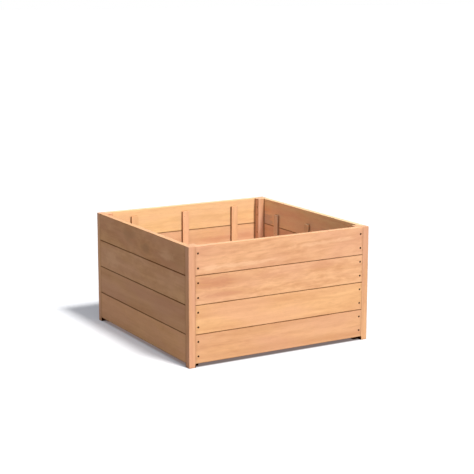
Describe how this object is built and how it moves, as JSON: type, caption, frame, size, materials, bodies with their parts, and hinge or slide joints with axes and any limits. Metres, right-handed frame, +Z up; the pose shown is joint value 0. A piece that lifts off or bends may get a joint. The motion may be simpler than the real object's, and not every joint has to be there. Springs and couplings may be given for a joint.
{
  "type": "raised garden bed",
  "caption": "Square timber raised bed, open above and below, with lapped wall boards, rebated corner posts as feet, and battens inside.",
  "frame": {"origin": "on the ground, under the middle of the box", "axes": "+X to the right along the front wall, +Y from the front wall to the back wall, +Z up"},
  "size_m": [1.05, 1.05, 0.6],
  "materials": {
    "board_timber": "planed hardwood, oiled, satin",
    "post_timber": "planed hardwood, oiled, satin, a little pinker than the boards",
    "batten_timber": "planed hardwood, satin",
    "screw_steel": "browned steel, dull",
    "nail_steel": "bright steel, dull"
  },
  "bodies": {
    "root": {"post_front_left": "post_timber", "post_front_right": "post_timber", "post_back_left": "post_timber", "post_back_right": "post_timber", "board_front_1": "board_timber", "board_front_2": "board_timber", "board_front_3": "board_timber", "board_front_4": "board_timber", "board_back_1": "board_timber", "board_back_2": "board_timber", "board_back_3": "board_timber", "board_back_4": "board_timber", "board_left_1": "board_timber", "board_left_2": "board_timber", "board_left_3": "board_timber", "board_left_4": "board_timber", "board_right_1": "board_timber", "board_right_2": "board_timber", "board_right_3": "board_timber", "board_right_4": "board_timber", "batten_front_1": "batten_timber", "batten_front_2": "batten_timber", "batten_front_3": "batten_timber", "batten_back_1": "batten_timber", "batten_back_2": "batten_timber", "batten_back_3": "batten_timber", "batten_left_1": "batten_timber", "batten_left_2": "batten_timber", "batten_left_3": "batten_timber", "batten_right_1": "batten_timber", "batten_right_2": "batten_timber", "batten_right_3": "batten_timber", "screws_front": "screw_steel", "screws_back": "screw_steel", "screws_left": "screw_steel", "screws_right": "screw_steel", "nails_front": "nail_steel", "nails_back": "nail_steel", "nails_left": "nail_steel", "nails_right": "nail_steel"}
  },
  "joints": []
}
